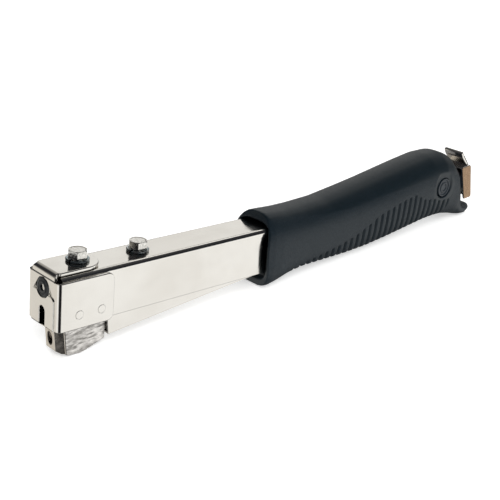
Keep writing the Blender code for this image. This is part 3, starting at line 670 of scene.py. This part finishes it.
class Sky:
    """Studio surroundings as a function of direction: what bright metal mirrors."""

    def __init__(self):
        world = bpy.data.worlds.new("studio")
        world.use_nodes = True
        bpy.context.scene.world = world
        self.nodes = world.node_tree.nodes
        self.links = world.node_tree.links
        self.background = self.nodes["Background"]
        self.direction = self.nodes.new("ShaderNodeTexCoord").outputs["Generated"]
        self.value = None

    def ramp(self, source, stops):
        made = self.nodes.new("ShaderNodeValToRGB")
        elements = made.color_ramp.elements
        while len(elements) < len(stops):
            elements.new(0.5)
        for element, (position, colour) in zip(elements, stops):
            element.position = position
            element.color = (*colour, 1)
        self.links.new(source, made.inputs["Fac"])
        return made.outputs["Color"]

    def base(self, stops):
        """Colour by height: 0 is straight down, 0.5 the horizon and 1 straight up."""
        split = self.nodes.new("ShaderNodeSeparateXYZ")
        self.links.new(self.direction, split.inputs[0])
        half = self.nodes.new("ShaderNodeMath")
        half.operation = "MULTIPLY_ADD"
        half.inputs[1].default_value = 0.5
        half.inputs[2].default_value = 0.5
        self.links.new(split.outputs["Z"], half.inputs[0])
        self.value = self.ramp(half.outputs[0], stops)

    def panel(self, toward, colour, inner, outer):
        """A soft-edged panel in a direction: full within inner degrees of it and gone beyond outer."""
        dot = self.nodes.new("ShaderNodeVectorMath")
        dot.operation = "DOT_PRODUCT"
        dot.inputs[1].default_value = Vector(toward).normalized()
        self.links.new(self.direction, dot.inputs[0])
        share = self.nodes.new("ShaderNodeMapRange")
        share.interpolation_type = "SMOOTHSTEP"
        share.inputs["From Min"].default_value = math.cos(math.radians(outer))
        share.inputs["From Max"].default_value = math.cos(math.radians(inner))
        self.links.new(dot.outputs["Value"], share.inputs["Value"])
        mix = self.nodes.new("ShaderNodeMix")
        mix.data_type = "RGBA"
        self.links.new(share.outputs["Result"], mix.inputs["Factor"])
        self.links.new(self.value, mix.inputs["A"])
        mix.inputs["B"].default_value = (*colour, 1)
        self.value = mix.outputs["Result"]

    def finish(self, strength, backdrop):
        """The camera itself sees a plain backdrop."""
        seen = self.nodes.new("ShaderNodeLightPath").outputs["Is Camera Ray"]
        mix = self.nodes.new("ShaderNodeMix")
        mix.data_type = "RGBA"
        self.links.new(seen, mix.inputs["Factor"])
        self.links.new(self.value, mix.inputs["A"])
        mix.inputs["B"].default_value = (*backdrop, 1)
        self.links.new(mix.outputs["Result"], self.background.inputs["Color"])
        self.background.inputs["Strength"].default_value = strength


def make_sky():
    """A white table all round with the tool's painted shadow on it straight below and behind the grip, a
    dark room above it, and soft-edged panels that bright metal mirrors.
    """
    sky = Sky()
    # The dark stops low down are the tool's shadow on the table, painted into the surroundings
    sky.base([
        (0.0, (0.16, 0.16, 0.16)), (0.14, (0.26, 0.26, 0.26)), (0.22, (0.95, 0.95, 0.93)),
        (0.455, (1.12, 1.12, 1.10)), (0.485, (0.30, 0.30, 0.30)), (0.51, (0.015, 0.017, 0.02)),
        (0.80, (0.03, 0.03, 0.034)), (1.0, (0.10, 0.10, 0.10)),
    ])
    # High behind the tool: a grey wall, a bright panel low on it, a dark gap, a glow and a soft box
    sky.panel((0.45, 0.66, 0.60), (0.42, 0.41, 0.39), 4, 38)
    sky.panel((0.68, 0.63, 0.36), (0.86, 0.855, 0.83), 12, 19)
    sky.panel((0.70, 0.44, 0.58), (0.03, 0.03, 0.03), 2, 5)
    sky.panel((0.90, 0.05, 0.30), (0.50, 0.49, 0.47), 6, 24)
    sky.panel((0.68, 0.20, 0.70), (1.25, 1.24, 1.2), 6, 10)
    # Down on the table: dark behind the grip (the tool's painted shadow), dark in front on the left, warm
    # beyond the head
    sky.panel((0.86, 0.26, -0.38), (0.10, 0.10, 0.09), 16, 30)
    sky.panel((-0.63, -0.68, -0.38), (0.012, 0.012, 0.014), 18, 34)
    sky.panel((-0.62, 0.70, -0.38), (0.78, 0.755, 0.70), 14, 40)
    sky.finish(1.0, (1.0, 1.0, 1.0))


def make_camera():
    """The photograph's angle: from the front left and above."""
    data = bpy.data.cameras.new("camera")
    data.sensor_width = 36.0
    data.lens = 71.184
    data.clip_start = 0.01
    camera = bpy.data.objects.new("camera", data)
    camera.location = (-0.353226, -0.326743, 0.21819)
    camera.rotation_euler = (1.16081, -0.049013, -0.759224)
    bpy.context.scene.collection.objects.link(camera)
    bpy.context.scene.camera = camera


def front_detail(x, y, z):
    """Openings and raised panel of the cap's front plate, and the rivets' holes."""
    plate = x < 2.6 and abs(y) < 10.5 and -23.9 < z < -1.7
    rivets = x > 7 and -21 < z < -14
    return plate or rivets


def main():
    chrome = chrome_finish("chrome_bright")
    steel = steel_finish()
    nose = nose_steel_finish()
    ground = ground_finish()
    zinc = zinc_finish()
    bolt = bolt_finish()
    black = black_finish()
    plastic = plastic_finish()

    refined("head_cap", chrome, 0.5, fine=front_detail)
    refined("upper_channel", chrome, 0.3)
    refined("magazine_channel", chrome, 0.25)
    make_latch(chrome, flange_finish())
    refined("nose_plate", nose, 0.3)
    refined("nose_block", ground, 0.15, 2)
    refined("driver_blade", steel, 0.1, 2)
    for side in ("left", "right"):
        for end in ("front", "rear"):
            refined(f"cap_rivet_{side}_{end}", chrome, 0.1, 2, 50)
    for side in ("left", "right"):
        refined(f"pivot_cap_{side}", plastic, 0.12, 2, 20)
    make_bolts(bolt)
    make_washers(zinc)
    make_driver_screw(black)
    make_grip(satin_finish(), grained_finish())

    kept = {
        "spring_nut": zinc, "return_spring": steel, "driver_block": steel, "pivot_pin_left": steel,
        "pivot_pin_right": steel, "staple_rail": steel, "pusher_rod": steel, "latch_pin": steel,
        "pusher_spring": steel, "pusher_end_block": plastic, "staple_pusher": plastic,
    }
    for node, finish in kept.items():
        NODES[node].material_slots[0].material = finish

    make_floor()
    make_lamp("key", (-0.9, -1.3, 1.5), 1.3, 26)
    make_lamp("fill", (1.4, -0.9, 1.1), 1.4, 12)
    make_lamp("back", (0.3, 1.6, 1.2), 1.4, 12)
    make_sky()
    make_camera()
    bpy.context.scene.view_settings.view_transform = "Standard"


main()
